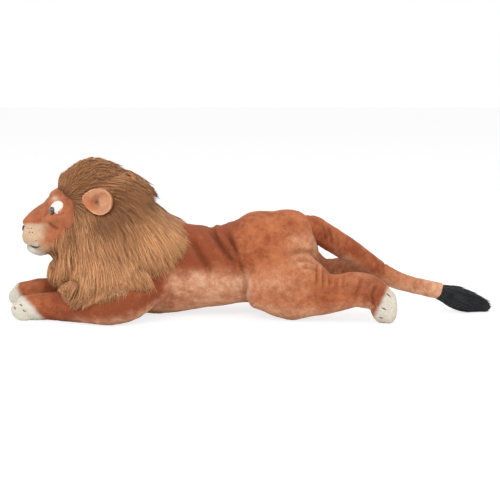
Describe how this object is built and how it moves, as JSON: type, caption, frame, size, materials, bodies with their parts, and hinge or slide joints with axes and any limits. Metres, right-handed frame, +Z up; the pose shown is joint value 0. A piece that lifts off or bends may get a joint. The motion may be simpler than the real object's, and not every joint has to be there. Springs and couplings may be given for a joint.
{
  "type": "stuffed toy lion",
  "caption": "Large stuffed toy lion lying down with forelegs stretched forward, long-pile mane, turning head and limbs, and a tail with a dark tuft.",
  "frame": {"origin": "on the floor under the middle of the toy's length and width", "axes": "+X from the nose to the tail, +Y towards the toy's right side, +Z up"},
  "size_m": [1.217, 0.384, 0.3773],
  "materials": {
    "rust_plush": "short sheared pile, mottled, paler underneath",
    "cream_plush": "short sheared pile",
    "white_plush": "short sheared pile",
    "pink_lining": "smooth short pile",
    "tan_pile": "long pile, about 50 mm",
    "black_pile": "long pile",
    "stuffing": "loose polyester fibre fill, represented solid",
    "nose_plush": "short matt pile",
    "eye_plastic": "polished dome",
    "washer_plastic": "moulded"
  },
  "bodies": {
    "torso": {"torso_cover": "rust_plush", "torso_stuffing": "stuffing", "rump_cover": "rust_plush", "rump_stuffing": "stuffing", "mane_cape": "tan_pile"},
    "head": {"head_cover": "rust_plush", "head_stuffing": "stuffing", "muzzle": "cream_plush", "chin": "white_plush", "nose": "nose_plush", "mane_hood": "tan_pile", "eye_left": "eye_plastic", "eye_washer_left": "washer_plastic", "eye_patch_left": "white_plush", "eye_right": "eye_plastic", "eye_washer_right": "washer_plastic", "eye_patch_right": "white_plush"},
    "tail_root": {"tail_root": "rust_plush"},
    "tail": {"tail_cover": "rust_plush", "tail_stuffing": "stuffing"},
    "tuft": {"tail_tuft": "black_pile"},
    "ear_left": {"ear_back_left": "rust_plush", "ear_lining_left": "pink_lining"},
    "foreleg_left": {"foreleg_cover_left": "rust_plush", "forepaw_left": "white_plush", "foreleg_stuffing_left": "stuffing"},
    "hindleg_left": {"hindleg_cover_left": "rust_plush", "hindfoot_left": "white_plush", "hindleg_stuffing_left": "stuffing"},
    "ear_right": {"ear_back_right": "rust_plush", "ear_lining_right": "pink_lining"},
    "foreleg_right": {"foreleg_cover_right": "rust_plush", "forepaw_right": "white_plush", "foreleg_stuffing_right": "stuffing"},
    "hindleg_right": {"hindleg_cover_right": "rust_plush", "hindfoot_right": "white_plush", "hindleg_stuffing_right": "stuffing"}
  },
  "joints": [
    {"name": "head_turn", "type": "hinge", "parent": "torso", "child": "head", "pos_m": [-0.37353, 0, 0.16905], "axis": [-0.788, 0, 0.6157], "range_deg": [-10, 10], "stiffness_Nm_per_rad": 4},
    {"name": "ear_fold_left", "type": "hinge", "parent": "head", "child": "ear_left", "pos_m": [-0.39237, -0.0704, 0.28185], "axis": [1, 0, 0], "range_deg": [-12, 12], "stiffness_Nm_per_rad": 0.1},
    {"name": "shoulder_left", "type": "hinge", "parent": "torso", "child": "foreleg_left", "pos_m": [-0.25978, -0.1, 0], "axis": [0, 0, 1], "range_deg": [-3, 12], "stiffness_Nm_per_rad": 2},
    {"name": "hip_left", "type": "hinge", "parent": "torso", "child": "hindleg_left", "pos_m": [0.05602, -0.08, 0], "axis": [0, 0, -1], "range_deg": [-4, 14], "stiffness_Nm_per_rad": 2},
    {"name": "ear_fold_right", "type": "hinge", "parent": "head", "child": "ear_right", "pos_m": [-0.39237, 0.0704, 0.28185], "axis": [-1, 0, 0], "range_deg": [-12, 12], "stiffness_Nm_per_rad": 0.1},
    {"name": "shoulder_right", "type": "hinge", "parent": "torso", "child": "foreleg_right", "pos_m": [-0.25978, 0.1, 0], "axis": [0, 0, -1], "range_deg": [-3, 12], "stiffness_Nm_per_rad": 2},
    {"name": "hip_right", "type": "hinge", "parent": "torso", "child": "hindleg_right", "pos_m": [0.05602, 0.08, 0], "axis": [0, 0, 1], "range_deg": [-4, 14], "stiffness_Nm_per_rad": 2},
    {"name": "tail_swing", "type": "hinge", "parent": "torso", "child": "tail_root", "pos_m": [0.1587, 0, 0.213], "axis": [0, 0, 1], "range_deg": [-12, 12], "stiffness_Nm_per_rad": 0.5},
    {"name": "tail_lift", "type": "hinge", "parent": "tail_root", "child": "tail", "pos_m": [0.1587, 0, 0.213], "axis": [0, -1, 0], "range_deg": [0, 55], "stiffness_Nm_per_rad": 0.4},
    {"name": "tuft_sway", "type": "hinge", "parent": "tail", "child": "tuft", "pos_m": [0.4767, 0, 0.05304], "axis": [0, 0, 1], "range_deg": [-25, 25], "stiffness_Nm_per_rad": 0.08}
  ]
}
